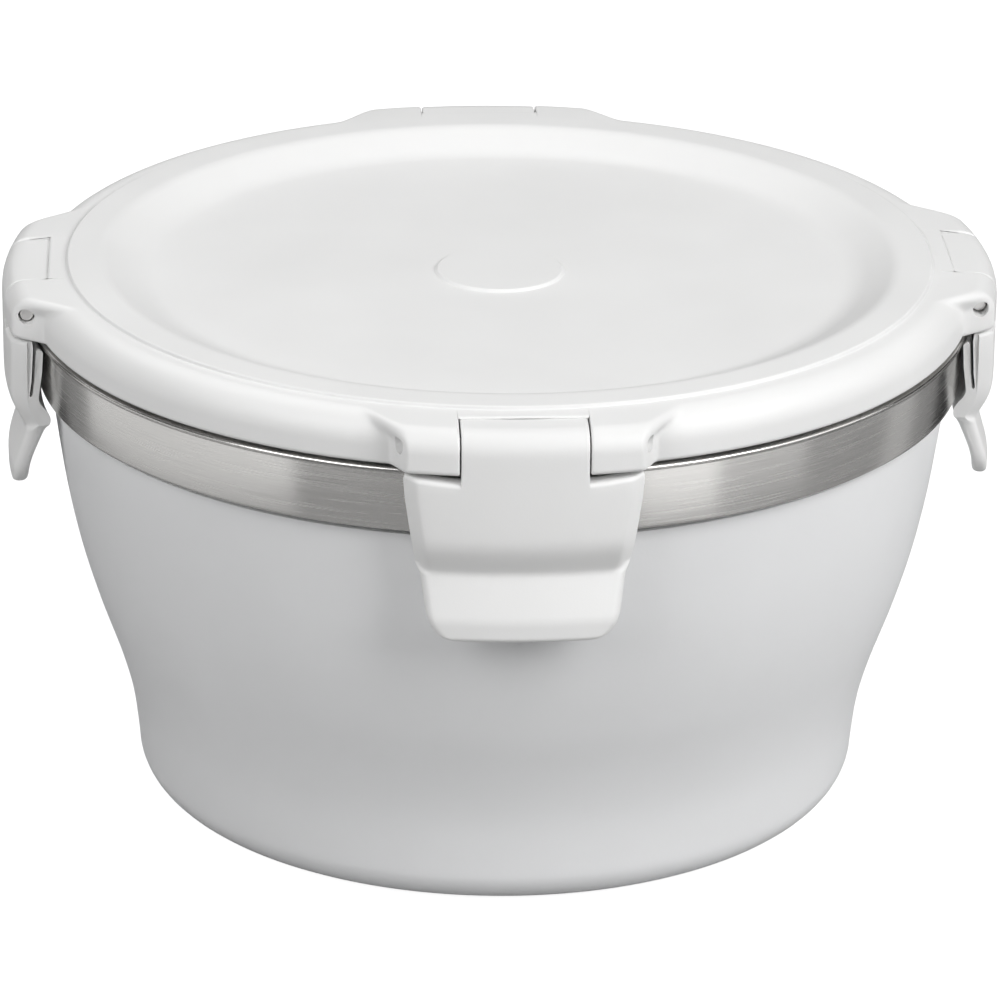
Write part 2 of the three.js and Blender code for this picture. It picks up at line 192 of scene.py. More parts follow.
band_swell = BAND_RADIUS - BAND_SWELL * ((band_height - BAND_MIDDLE) / BAND_HALF) ** 2
band_edge = rounded([
    (MOUTH_RADIUS + STEEL, MOUTH_HEIGHT, 0),
    (MOUTH_RADIUS + STEEL, LIP_UNDER, 0.6),
    (BAND_INSIDE, LIP_UNDER, 0.5),
    (BAND_INSIDE, BAND_BOTTOM + STEEL, 0.3),
    (82.5, BAND_BOTTOM + STEEL, 0.1),
    (82.5, BAND_BOTTOM, 0.1),
    (BAND_RADIUS - BAND_SWELL, BAND_BOTTOM, 0.45),
    *((radius, height, 0) for radius, height in zip(band_swell, band_height)),
    (BAND_RADIUS - BAND_SWELL, LIP_UNDER, 0.15),
    (LIP_RADIUS, LIP_UNDER, 0.3),
    (LIP_RADIUS, RIM_TOP, 0.4),
    (MOUTH_RADIUS, RIM_TOP, 0.7),
    (MOUTH_RADIUS, MOUTH_HEIGHT, 0),
])
steel_outline = np.concatenate([
    [(0, BOTTOM_HEIGHT - STEEL)], bowl_outside[:-1], band_edge, bowl_curve[-2::-1],
    [(0, BOTTOM_HEIGHT)],
])
steel_bowl = turned("steel_bowl_spun", steel_outline)
settle(steel_bowl, "bowl", "steel_bowl")

# %% [markdown]
# ## The coated shell
# The shell has a flat base ring, a rounded foot, a gentle waist and a flank that opens up to the
# band. The waist is what makes the bowl easy to lift, so its curve follows several knots. Under
# the band the top edge steps in by a millimetre, and that groove gives the dark line there.

# %% Turn the coated shell
SHELL_WALL, FOOT_FLAT, FOOT_WIDE, FOOT_TALL = 0.8, 60, 6.6, 6.8
shell_flank = spline([
    (66.6, 6.8), (66.95, 10.3), (67.6, 15.5), (68.6, 20.4), (70.6, 27.3), (74.1, 37.4),
    (77.05, 47.5), (79.25, 57.8), (80.8, 68.0), (82.0, 77.4),
], 90)
foot_turn = np.linspace(0, 1, 12)[:, None] * np.pi / 2
foot_arc = np.concatenate([FOOT_FLAT + FOOT_WIDE * np.sin(foot_turn),
                           FOOT_TALL - FOOT_TALL * np.cos(foot_turn)], axis=1)
shell_inside = np.concatenate([foot_arc[:-1] * (0.988, 0.9) + (0, SHELL_WALL),
                               shell_flank - (SHELL_WALL, 0)])
shell_outline = np.concatenate([
    [(0, 0.8), (50.6, 0.8), (51.2, 0.8), (51.6, 0.4), (52.0, 0.0), (52.4, 0.0), (59.4, 0.0)],
    foot_arc[:-1], shell_flank,
    [(82.0, 77.55), (81.9, 77.65), (81.1, 77.75), (81.0, 77.85), (81.0, 89.4), (80.8, 89.7),
     (80.4, 89.7), (80.2, 89.4), (80.2, 78.0)],
    shell_inside[::-1], [(52, 0.8), (51.2, 1.6), (0, 1.6)],
])
shell = turned("outer_shell_coated", shell_outline)
settle(shell, "bowl", "outer_shell")

# %% [markdown]
# ## The lid
# The lid is a turned form that swells into an ear at each latch. The ear ends abruptly near
# its lower edge, where the pin goes in, and flows into the round near the top. A notch splits
# each ear into two knuckles. The grid runs along the lid's outline one way and round the lid
# the other way. Two columns stand at each notch wall: one follows the ear, the other drops
# straight down the back of the notch, and the faces between them are the wall.

# %% Columns round one quarter of the lid
EAR_RADIUS, NOTCH_HALF, NOTCH_BACK = 90.5, 11.15, 82.0
PIN_OUT, PIN_UP, BARREL = 85.6, 96.25, 4.6
EAR_HALF, EDGE_ROUND = 20.2, 0.45
QUARTER = EAR_RADIUS * np.pi / 4


def ease(value, start, stop):
    """0 before start, 1 after stop, and 3u^2 - 2u^3 between them."""
    u = np.clip((value - start) / (stop - start), 0, 1)
    return u * u * (3 - 2 * u)


wall_round = NOTCH_HALF + EDGE_ROUND * (1 - np.cos(np.linspace(0, np.pi / 2, 6)))
half_offsets = np.concatenate([
    np.linspace(0, NOTCH_HALF, 9), wall_round, np.linspace(12.2, 19.4, 6),
    np.linspace(19.6, 24.4, 20), np.linspace(24.8, 30.8, 10), np.linspace(32, QUARTER, 22),
])
half_notched = np.arange(len(half_offsets)) < 9
offsets = np.concatenate([-half_offsets[:0:-1], half_offsets[:-1]])
notched = np.concatenate([half_notched[:0:-1], half_notched[:-1]])
beside = np.abs(offsets)
print(len(offsets), "columns in each quarter of the lid")

# %% [markdown]
# The outline has three stretches. The underside, with the plug and the groove for the seal, and
# the top, with its step, its recess and the bare raised disc, are the same all round. Between
# them the side is given twice, once for the plain round lid and once for an ear, and a weight
# mixes the two.

# %% Outline of the lid and the swell of its ears
LID_EDGE, EAR_EDGE, LID_SHOULDER, LID_TOP, RECESS_FLOOR = 91.4, 92.0, 99.9, 100.5, 96.7
underside = rounded([
    (0, 94.5, 0), (67.3, 94.5, 1.5), (71.7, 98.3, 1.0), (73.1, 98.3, 0.5), (73.1, 86.5, 0.6),
    (75.1, 86.5, 0.6), (75.1, 95.5, 0.4), (79.3, 95.5, 0.4), (79.3, LID_EDGE, 0.25),
    (81.6, LID_EDGE, 0),
], 4)
relief = np.array([(82, 0), (82, 2), (82, 6.0), (82.2, 6.3), (83.3, 6.3), (83.5, 6.0),
                   (83.5, 2), (83.5, 0)], float)
plain_side = rounded([
    (83.9, LID_EDGE, 0), (85.5, LID_EDGE, 0.9), (85.5, LID_SHOULDER, 5.2), (79.6, LID_SHOULDER, 0),
], 14)
ear_side = rounded([
    (84.4, EAR_EDGE, 0), (90.5, EAR_EDGE, 0.9), (90.5, 99.6, 4.0), (79.6, LID_SHOULDER, 0),
], 14)
top = rounded([
    (79.6, LID_SHOULDER, 0), (78.95, LID_SHOULDER, 0.25), (78.5, LID_TOP, 0.35),
    (72.2, LID_TOP, 5.0), (65.0, RECESS_FLOOR, 8.5), (11.9, RECESS_FLOOR, 0.25),
    (11.35, RECESS_FLOOR + 0.5, 0.3), (0, RECESS_FLOOR + 0.5, 0),
], 8)
level = np.linspace(0, 1, len(plain_side))[:, None]
blend_length = 2.8 + 5.2 * ease(plain_side[:, 1:], 96.0, 100.0)
swell = 1 - ease(beside, EAR_HALF - 0.4, EAR_HALF + blend_length)
edge_gap = np.clip((beside - NOTCH_HALF) / EDGE_ROUND, 0, 1)
edge_cut = EDGE_ROUND * (1 - np.sqrt(1 - (1 - edge_gap) ** 2))
outline_length = len(underside) + len(relief) + len(plain_side) + len(top) - 1
print(outline_length, "points along the lid's outline")

# %% [markdown]
# Now each column gets its own version of the outline. A groove hollows the lid's rim from below, as
# a moulder keeps walls even, and fades out before each notch. Beside a notch the edge is rounded,
# and in the notch the columns follow the round seat behind the latch's barrel.

# %% Set the lid's points
def all_round(stretch):
    """The same outline in every column."""
    return np.repeat(stretch[:, None, :], len(offsets), axis=1)


relief_depth = ease(beside, NOTCH_HALF + 1, NOTCH_HALF + 4)
relief_rows = all_round(relief)
relief_rows[..., 1] = LID_EDGE + relief_rows[..., 1] * relief_depth
side_rows = all_round(plain_side) + swell[..., None] * (all_round(ear_side) - all_round(plain_side))
away_from_step = 1 - ease(level, 0.95, 0.99)
side_rows[..., 0] -= edge_cut * ease(level, 0.0, 0.1) * away_from_step
side_rows[..., 1] -= edge_cut * ease(level, 0.6, 1.0) * away_from_step
seat_wall = rounded([(0, LID_EDGE, 0), (0, LID_SHOULDER, 0.35), (-1.2, LID_SHOULDER, 0)], 6)
seat_spread = np.linspace(0, 1, len(relief) + len(plain_side) - 1)
seat_length = np.concatenate([[0], np.cumsum(np.linalg.norm(np.diff(seat_wall, axis=0), axis=1))])
seat_level = np.interp(seat_spread, seat_length / seat_length[-1], seat_wall[:, 1])[:, None]
seat_out = np.interp(seat_spread, seat_length / seat_length[-1], seat_wall[:, 0])[:, None]
seat_round = PIN_OUT - np.sqrt(np.clip((BARREL + 0.3) ** 2 - (seat_level - PIN_UP) ** 2, 0, None))
seat_back = np.minimum(NOTCH_BACK, seat_round) + seat_out
notch_rows = np.stack([np.sqrt(seat_back**2 + offsets**2), seat_level + 0 * offsets], axis=-1)
moving = np.concatenate([relief_rows, side_rows])
moving[:-1][:, notched] = notch_rows[:, notched]
lid_rows = np.concatenate([all_round(underside), moving, all_round(top[1:])])
print("a quarter of the lid has", lid_rows.shape[0], "rows and", lid_rows.shape[1], "columns")

# %% Lay the columns out and turn the quarter four times
radius, height = lid_rows[..., 0], lid_rows[..., 1]
parallel = 1 - ease(beside, 25, 42)
bearing = (parallel * np.arcsin(offsets / np.maximum(radius, 78.0))
           + (1 - parallel) * offsets / EAR_RADIUS)
quarter = [bearing + side * np.pi / 2 for side in range(4)]
lid_bearing = np.concatenate(quarter, axis=1)
lid_radius, lid_height = np.tile(radius, 4), np.tile(height, 4)
lid_points = np.stack([lid_radius * np.sin(lid_bearing), -lid_radius * np.cos(lid_bearing),
                       lid_height], axis=-1)
lid = grid_piece("lid_moulded", lid_points)
settle(lid, "lid", "lid")

# %% [markdown]
# ## The seal ring
# A soft ring sits in the groove under the lid and presses on the steel rim. Only its lower face
# shows when the lid is lifted, so a closed outline with round lower corners is enough.

# %% Turn the seal
seal_outline = rounded([
    (77, 91.2, 0), (78.9, 91.2, 0.7), (78.9, 95.2, 0.4), (75.4, 95.2, 0.4), (75.4, 91.2, 0.7),
    (77, 91.2, 0),
])
seal = turned("seal_ring", seal_outline, 192)
settle(seal, "lid", "lid_seal")

# %% [markdown]
# ## The latches
# A latch is one moulding: a barrel that sits between the knuckles, a plate, a crease, and a tab
# to pull. Behind the plate a thin finger is folded up, and its end hooks at the steel lip. The
# outline of its section runs along the grid's rows. The columns go across the latch and bend
# round the bowl, because plate and tab are curved like the band. In the middle columns the
# outline climbs over the barrel; in the outer ones it stops at the plate's shoulder.

# %% Section of the latch
SHOULDER, BARREL_HALF = 90.5, 10.85
tab_face = rounded([
    (88.3, 61.3, 0), (89.9, 61.3, 1.05), (90.0, 65.2, 6.0), (87.62, 73.2, 1.9), (88.1, 74.2, 0),
], 8)
plate_face = spline([(88.1, 74.2), (88.65, 75.2), (89.4, 76.6), (90.05, 78.2), (90.4, 79.9),
                     (90.5, 82.0)], 26)
front_rows = np.concatenate([tab_face[:-1], plate_face, [(90.5, 86.5), (90.5, 88.6)]])
HOOK_TURN, HOOK_ROUND = np.linspace(0, np.pi, 11), 0.55
back_rows = np.concatenate([
    [(87.0, 89.4), (87.25, 83.5), (87.54, 80.45), (87.46, 80.24), (87.25, 80.15), (87.04, 80.24),
     (86.96, 80.45), (86.65, 83.5)],
    np.stack([85.85 + HOOK_ROUND * np.cos(HOOK_TURN), 88.95 + HOOK_ROUND * np.sin(HOOK_TURN)],
             axis=-1),
    [(85.45, 85), (85.75, 82)],
    spline([(85.9, 80.4), (85.9, 79.5), (85.5, 78.5), (84.6, 77.4), (83.95, 76.3), (83.75, 75.2),
            (84.1, 73.9), (84.9, 71.9), (85.8, 69.6), (86.6, 67.3), (87.05, 65.4), (87.2, 63.6),
            (87.3, 62.6)], 40),
    [(87.45, 62.05), (87.7, 61.6), (88.05, 61.35)],
])
barrel_turn = np.radians(np.linspace(-219, -67, 30))
barrel_back = np.stack([PIN_OUT + BARREL * np.cos(barrel_turn),
                        PIN_UP + BARREL * np.sin(barrel_turn)], axis=-1)
barrel_rows = np.concatenate([
    spline([(90.5, 89.7), (90.5, 92.5), (90.5, 95.6), (90.1, 97.4), (88.9, 98.9), (87.0, 99.45),
            (85.3, 99.5), (83.3, 99.5), (82.5, 99.5), (82.03, 99.42)], 30),
    barrel_back,
    [(87.3, 91.3), (87.1, 90.8), (87.1, SHOULDER)],
])
shoulder_turn = np.linspace(np.pi / 8, np.pi / 2, 20)
shoulder_back = np.linspace(89.7, 87.1, len(barrel_rows) - 20)[1:]
shoulder_rows = np.concatenate([
    [(90.5, 89.7)],
    np.stack([89.7 + 0.8 * np.cos(shoulder_turn), 89.7 + 0.8 * np.sin(shoulder_turn)], axis=-1),
    np.stack([shoulder_back, SHOULDER + 0.05 * np.sin(np.pi * (89.7 - shoulder_back) / 2.6)],
             axis=-1),
])
WALL_POINT, BARREL_HEART = np.array([89.85, 93.4]), np.array([88.2, 93.8])
print(len(front_rows) + len(barrel_rows) + len(back_rows), "rows along the latch's section")

# %% [markdown]
# Across the latch the columns are of three kinds: those over the barrel, one that stands at the
# barrel's side wall, and those of the plate beside it. They crowd together towards the edge, where
# the plate falls away in a slant and the tab is rounded. Two tables give the latch's half width
# at each height.

# %% Columns across the latch
EDGE_TURN = np.linspace(0, np.pi / 2, 7)
SIDE_ZONE = 4.0
inner_offsets = np.concatenate([np.linspace(0, 10, 7), BARREL_HALF - 0.5 * (1 - np.sin(EDGE_TURN))])
flat_shares = np.linspace(0, 1, 6)[:-1]
from_edge = np.array([4, 3.4, 3, 2.8, 2.6, 2.45, 2.3, 2.1, 1.7, 1.3, 1.0, 0.75, 0.52, 0.33, 0.17,
                      0.06, 0])
kinds = np.array([0] * len(inner_offsets) + [1] + [2] * (len(flat_shares) + len(from_edge)))
width_height = [61.3, 61.42, 61.8, 62.45, 63.55, 64.75, 65.9, 67.2, 69.5, 72.4, 73.2, 74.2, 76,
                79.15, 85, 88, 90.0, 90.5]
width_half = [11.65, 12.65, 13.73, 14.71, 15.65, 16.25, 16.6, 16.85, 17.2, 17.55, 17.85, 18.35,
              18.65, 19.15, 20.05, 20.45, 20.5, 20.2]
TAB_MIDDLE = ([61.3, 64, 68, 72, 74.2], [88.65, 88.55, 87.7, 86.4, 86.05])
SLANT_WIDTH, SLANT_DEPTH, SLANT_SOFT = 2.0, 2.4, 0.05
TAB_ROUND, TAB_EDGE, SHOULDER_RISE = 1.4, 0.15, 0.6


def latch_half(rows_of_kind, side):
    """Points of one half of the latch. Inside the barrel's width a column keeps its offset. Outside
    it the offset is shared out up to the latch's half width at that height. Towards the edge
    the plate's face falls away in a slant, h(s) = (s + sqrt(s^2 + SLANT_SOFT)) / 2, and the tab's
    faces close on each other in a half circle."""
    rows = np.stack([rows_of_kind[kind] for kind in kinds], axis=1)
    height = rows[..., 1]
    half_width = np.interp(height, width_height, width_half)
    core = BARREL_HALF * np.minimum(1, half_width / 17.5)
    zone = np.minimum(SIDE_ZONE, 0.75 * (half_width - core))
    shares = np.concatenate([inner_offsets / BARREL_HALF, [1.0], flat_shares,
                             from_edge / SIDE_ZONE])
    flat = np.arange(len(kinds)) < len(kinds) - len(from_edge)
    offset = np.where(kinds < 2, shares * core,
                      np.where(flat, core + shares * (half_width - zone - core),
                               half_width - shares * zone))
    edge = half_width - offset
    in_plate = ease(height, 72.6, 74.6)
    slant_at = 1 - edge / SLANT_WIDTH
    slant = SLANT_DEPTH * (slant_at + np.sqrt(slant_at**2 + SLANT_SOFT)) / 2
    outer_face = np.concatenate([np.ones(len(front_rows)),
                                 np.clip((shoulder_rows[:, 0] - 87.1) / 3.4, 0, 1),
                                 np.zeros(len(back_rows))])[:, None]
    middle = np.interp(height, *TAB_MIDDLE)
    half_round = np.sqrt(1 - (1 - np.clip(edge / TAB_ROUND, 0, 1)) ** 2)
    half_round = TAB_EDGE + (1 - TAB_EDGE) * half_round
    closing = in_plate + (1 - in_plate) * half_round
    out = middle + (rows[..., 0] - outer_face * in_plate * slant - middle) * closing
    out = np.minimum(out, EAR_RADIUS)
    rise = ease(edge, 9.0, 0.5) * ease(height, 88, 90) * ease(rows[..., 0], 86.6, 87.0)
    return np.stack([side * offset, -np.sqrt(out**2 - offset**2),
                     height + (kinds == 2) * SHOULDER_RISE * rise], axis=-1)


print(2 * len(kinds) - 1, "columns across the latch")

# %% [markdown]
# Both halves meet in the middle column. The barrel's end faces are pulled in towards its heart,
# which rounds their edges. One latch is worked out at the front and turned to the other sides.

# %% Build one latch and set it at all four sides
def end_faces(section, zip_height=76.0):
    """Rows of the faces that close a side: triangles go up the tab like a zip, always to the lower
    of the next front and back row, and one face closes the plate above them."""
    front, back, faces = 0, len(section) - 1, []
    while min(section[front, 1], section[back, 1]) < zip_height:
        if section[front + 1, 1] <= section[back - 1, 1]:
            faces.append([front, front + 1, back])
            front += 1
        else:
            faces.append([front, back - 1, back])
            back -= 1
    return faces + [list(range(front, back + 1))]


rounding = 0.5 - 0.5 * np.cos(EDGE_TURN)
pull = np.concatenate([np.zeros(7), rounding])
wall_rows = np.repeat(WALL_POINT[None], len(barrel_rows), axis=0)
wall_rows[0], wall_rows[-1] = shoulder_rows[0], shoulder_rows[-1]
section_of_kind = [np.concatenate([front_rows, middle, back_rows])
                   for middle in (barrel_rows, wall_rows, shoulder_rows)]
right_half, left_half = latch_half(section_of_kind, 1), latch_half(section_of_kind, -1)
barrel_span = slice(len(front_rows), len(front_rows) + len(barrel_rows))
for half in (right_half, left_half):
    inner = half[barrel_span, :len(inner_offsets)]
    towards = np.stack([0 * inner[..., 0], -BARREL_HEART[0] - inner[..., 1],
                        BARREL_HEART[1] - inner[..., 2]], axis=-1)
    length = np.linalg.norm(towards, axis=-1, keepdims=True)
    fade = ease(barrel_rows[:, 1], SHOULDER, SHOULDER + 2)
    inner += 0.5 * (pull * fade[:, None])[..., None] * towards / length
latch_points = np.concatenate([left_half[:, :0:-1], right_half], axis=1)
quarter_turns = [
    np.array([[math.cos(a), -math.sin(a), 0], [math.sin(a), math.cos(a), 0], [0, 0, 1]])
    for a in np.arange(4) * np.pi / 2
]
latches = {}
for side, turn in zip(SIDES, quarter_turns):
    latches[side] = grid_piece(f"latch_{side}_moulded", latch_points @ turn.T, closed_rows=True,
                               closed_columns=False, caps=end_faces(section_of_kind[2]))
    settle(latches[side], f"latch_{side}", f"latch_{side}")

# %% [markdown]
# ## The hinge pins and their holes
# A ground steel pin goes through each ear and barrel. Facing a latch, its right-hand end is
# nearly flush and its left-hand end stands back in the hole. The holes are cut with a boolean,
# because a round hole that meets a curved ear can't be one clean grid. All the meshes are closed,
# so Blender's manifold solver can be used, which copes with the many thin faces beside a notch.

# %% Drill the ears and set the pins
PIN_RADIUS, HOLE_RADIUS, HOLE_HALF = 1.25, 1.5, 25
PIN_LEFT, PIN_RIGHT, PIN_EDGE = -18.7, 19.9, 0.3
ROUND_STEPS = 48


def bar(name, outline, turn):
    """An outline of (distance from the hinge line, place along it) goes once round the hinge
    line: out = PIN_OUT + d cos a, up = PIN_UP + d sin a."""
    angle = -np.linspace(0, 2 * np.pi, ROUND_STEPS, endpoint=False)
    distance, along = outline[:, :1], outline[:, 1:]
    points = np.stack([np.repeat(along, ROUND_STEPS, axis=1),
                       -(PIN_OUT + distance * np.cos(angle)),
                       PIN_UP + distance * np.sin(angle)], axis=-1)
    return grid_piece(name, points @ turn.T)


def drill(piece, cutter):
    """Cuts the cutter's form out of the piece, for good."""
    cut = piece.modifiers.new("hole", "BOOLEAN")
    cut.operation, cut.object, cut.solver = "DIFFERENCE", cutter, "MANIFOLD"
    bpy.context.view_layer.update()
    shown = piece.evaluated_get(bpy.context.evaluated_depsgraph_get())
    drilled = bpy.data.meshes.new_from_object(shown)
    piece.modifiers.clear()
    piece.data = drilled
    smooth(drilled)


hole_outline = np.array([(0, -HOLE_HALF), (HOLE_RADIUS, -HOLE_HALF), (HOLE_RADIUS, HOLE_HALF),
                         (0, HOLE_HALF)], float)
pin_outline = rounded([(0, PIN_LEFT, 0), (PIN_RADIUS, PIN_LEFT, PIN_EDGE),
                       (PIN_RADIUS, PIN_RIGHT, PIN_EDGE), (0, PIN_RIGHT, 0)])
pins = {}
for side, turn in zip(SIDES, quarter_turns):
    cutter = bar("hole_cutter", hole_outline, turn)
    drill(lid, cutter)
    drill(latches[side], cutter)
    bpy.data.objects.remove(cutter)
    pins[side] = bar(f"pin_{side}_ground", pin_outline, turn)
    settle(pins[side], "lid", f"pin_{side}")
print("the drilled lid has", len(lid.data.polygons), "faces")

# %% [markdown]
# ## Finishes
# Each finish is a node material on Object coordinates, so that it stays put when a piece moves.
# The lid and the latches are moulded in a tool with a fine spark-eroded grain. The shell has a
# powder coat, which is a little uneven like orange peel. The steel is brushed round the band.

# %% A helper for node materials
def finish(name, colour, roughness, **settings):
    """A material with one Principled shader, its plain values set on the shader's own sockets."""
    material = bpy.data.materials.new(name)
    material.use_nodes = True
    shader = material.node_tree.nodes["Principled BSDF"]
    shader.inputs["Base Color"].default_value = (*colour, 1)
    shader.inputs["Roughness"].default_value = roughness
    for socket, value in settings.items():
        shader.inputs[socket.replace("_", " ")].default_value = value
    return material, material.node_tree.nodes, material.node_tree.links, shader


def noise(nodes, links, scale, stretch=(1, 1, 1), detail=3.0):
    """Noise on Object coordinates, its scale in features per metre, stretched along the axes."""
    place = nodes.new("ShaderNodeTexCoord")
    mapping = nodes.new("ShaderNodeMapping")
    mapping.inputs["Scale"].default_value = stretch
    texture = nodes.new("ShaderNodeTexNoise")
    texture.inputs["Scale"].default_value = scale
    texture.inputs["Detail"].default_value = detail
    links.new(place.outputs["Object"], mapping.inputs["Vector"])
    links.new(mapping.outputs["Vector"], texture.inputs["Vector"])
    return texture


def vary(nodes, links, texture, socket, low, high):
    """Noise between its dark and light parts becomes a value or colour between low and high."""
    ramp = nodes.new("ShaderNodeValToRGB")
    ramp.color_ramp.elements[0].position, ramp.color_ramp.elements[1].position = 0.3, 0.7
    ramp.color_ramp.elements[0].color, ramp.color_ramp.elements[1].color = (*low, 1), (*high, 1)
    links.new(texture.outputs["Fac"], ramp.inputs["Fac"])
    links.new(ramp.outputs["Color"], socket)


def grain(nodes, links, texture, shader, distance, strength):
    """Noise raises the surface by up to distance, in metres."""
    bump = nodes.new("ShaderNodeBump")
    bump.inputs["Distance"].default_value = distance
    bump.inputs["Strength"].default_value = strength
    links.new(texture.outputs["Fac"], bump.inputs["Height"])
    links.new(bump.outputs["Normal"], shader.inputs["Normal"])


# %% Moulded plastic, powder coat, silicone
def grained_plastic(name, colour, other_colour):
    """Matte moulding: slow drift of tone and gloss, and a fine even grain."""
    material, nodes, links, shader = finish(name, colour, 0.5, IOR=1.49)
    drift = noise(nodes, links, 28)
    vary(nodes, links, drift, shader.inputs["Base Color"], colour, other_colour)
    gloss = noise(nodes, links, 60)
    vary(nodes, links, gloss, shader.inputs["Roughness"], (0.44,) * 3, (0.54,) * 3)
    grain(nodes, links, noise(nodes, links, 3200, detail=2), shader, 0.00003, 0.35)
    return material


white_plastic = grained_plastic("white_plastic_grained", (0.84, 0.84, 0.835), (0.865, 0.865, 0.86))
latch_plastic = grained_plastic("latch_plastic_grained", (0.84, 0.84, 0.835), (0.86, 0.86, 0.855))

pale_coat, nodes, links, shader = finish("pale_powder_coat", (0.875, 0.88, 0.887), 0.5, IOR=1.5)
vary(nodes, links, noise(nodes, links, 40), shader.inputs["Base Color"],
     (0.865, 0.87, 0.877), (0.885, 0.89, 0.897))
vary(nodes, links, noise(nodes, links, 90), shader.inputs["Roughness"], (0.42,) * 3, (0.54,) * 3)
grain(nodes, links, noise(nodes, links, 1500, detail=2), shader, 0.00004, 0.3)

silicone, nodes, links, shader = finish("clear_silicone", (0.8, 0.8, 0.79), 0.42, IOR=1.41)
shader.inputs["Subsurface Weight"].default_value = 0.4
shader.inputs["Subsurface Radius"].default_value = (0.002, 0.002, 0.002)
vary(nodes, links, noise(nodes, links, 120), shader.inputs["Roughness"], (0.36,) * 3, (0.5,) * 3)
matte_finishes = (white_plastic, latch_plastic, pale_coat, silicone)
print("matte finishes:", [material.name for material in matte_finishes])

# %% [markdown]
# Brushing leaves hair-fine lines that run round the band. Seen from any side they spread
# a reflection up and down but keep its edges sharp sideways. That is anisotropy: the shader gets a
# tangent that runs round the axis. The lines themselves are noise that is squeezed about
# sixtyfold in height.

# %% Brushed and ground steel
def brushed(name, colour, stretch, roughness, anisotropy):
    """Metal with long fine lines: noise squeezed along one axis varies tone, gloss and height."""
    material, nodes, links, shader = finish(name, colour, roughness, Metallic=1.0)
    shader.inputs["Anisotropic"].default_value = anisotropy
    lines = noise(nodes, links, 60, stretch, detail=4)
    vary(nodes, links, lines, shader.inputs["Base Color"],
         tuple(0.92 * c for c in colour), tuple(min(1.0, 1.07 * c) for c in colour))
    vary(nodes, links, lines, shader.inputs["Roughness"],
         (roughness - 0.04,) * 3, (roughness + 0.05,) * 3)
    grain(nodes, links, lines, shader, 0.00001, 0.07)
    return material, nodes, links, shader


brushed_steel, nodes, links, shader = brushed("steel_brushed_round", (0.64, 0.63, 0.615),
                                              (1.0, 1.0, 62), 0.24, 0.8)
shader.inputs["Anisotropic Rotation"].default_value = 0.25
round_axis = nodes.new("ShaderNodeTangent")
round_axis.direction_type, round_axis.axis = "RADIAL", "Z"
links.new(round_axis.outputs["Tangent"], shader.inputs["Tangent"])
pin_steel = brushed("pin_steel_ground", (0.8, 0.79, 0.78), (12, 12, 12), 0.4, 0.0)[0]

for piece, material in [(steel_bowl, brushed_steel), (shell, pale_coat), (lid, white_plastic),
                        (seal, silicone), *((latches[side], latch_plastic) for side in SIDES),
                        *((pins[side], pin_steel) for side in SIDES)]:
    piece.data.materials.clear()
    piece.data.materials.append(material)
print("finishes:", [material.name for material in bpy.data.materials if material.users])

# %% [markdown]
# ## Floor and light
# The bowl stands on a white sweep. A lamp bright enough to make the floor pure white would burn
# out the lid, so the floor adds light of its own for rays that come from the camera or from a
# mirror, and a faint shadow stays where the foot meets it.

# %% White floor
FLOOR_HALF, FLOOR_GREY, FLOOR_GLOW = 6, 0.38, 0.9


def lying_square(half, height):
    """The four corners of a level square round the upright axis, counter-clockwise."""
    return [(-half, -half, height), (half, -half, height), (half, half, height),
            (-half, half, height)]


floor_mesh = bpy.data.meshes.new("floor")
floor_mesh.from_pydata(lying_square(FLOOR_HALF, 0), [], [(0, 1, 2, 3)])
floor = bpy.data.objects.new("floor", floor_mesh)
bpy.context.scene.collection.objects.link(floor)
floor_white = bpy.data.materials.new("floor_white")
floor_white.use_nodes = True
nodes, links = floor_white.node_tree.nodes, floor_white.node_tree.links
nodes.clear()
diffuse = nodes.new("ShaderNodeBsdfDiffuse")
diffuse.inputs["Color"].default_value = (FLOOR_GREY, FLOOR_GREY, FLOOR_GREY, 1)
glow = nodes.new("ShaderNodeEmission")
glow.inputs["Color"].default_value = (FLOOR_GLOW, FLOOR_GLOW, FLOOR_GLOW, 1)
rays = nodes.new("ShaderNodeLightPath")
straight_or_mirrored, shown = nodes.new("ShaderNodeMath"), nodes.new("ShaderNodeMath")
straight_or_mirrored.operation = shown.operation = "MAXIMUM"
links.new(rays.outputs["Is Camera Ray"], straight_or_mirrored.inputs[0])
links.new(rays.outputs["Is Glossy Ray"], straight_or_mirrored.inputs[1])
links.new(straight_or_mirrored.outputs[0], shown.inputs[0])
links.new(rays.outputs["Is Transmission Ray"], shown.inputs[1])
links.new(shown.outputs[0], glow.inputs["Strength"])
both = nodes.new("ShaderNodeAddShader")
links.new(diffuse.outputs[0], both.inputs[0])
links.new(glow.outputs[0], both.inputs[1])
out = nodes.new("ShaderNodeOutputMaterial")
links.new(both.outputs[0], out.inputs["Surface"])
floor_mesh.materials.append(floor_white)
print("the floor is", 2 * FLOOR_HALF, "m wide")

# %% [markdown]
# Four large square lamps give the soft studio light: a key from the right, a weaker one from the
# left, and two that lift the right side and the back. Large lamps make soft shadows, and their
# power is kept low enough for the white plastic to keep its shading.

# %% Soft lights
LAMP_AWAY, AIM_HEIGHT = 1.5, 0.05
world = bpy.data.worlds.new("studio")
bpy.context.scene.world = world
world.use_nodes = True
world.node_tree.nodes["Background"].inputs["Color"].default_value = (1, 1, 1, 1)
world.node_tree.nodes["Background"].inputs["Strength"].default_value = 0.02


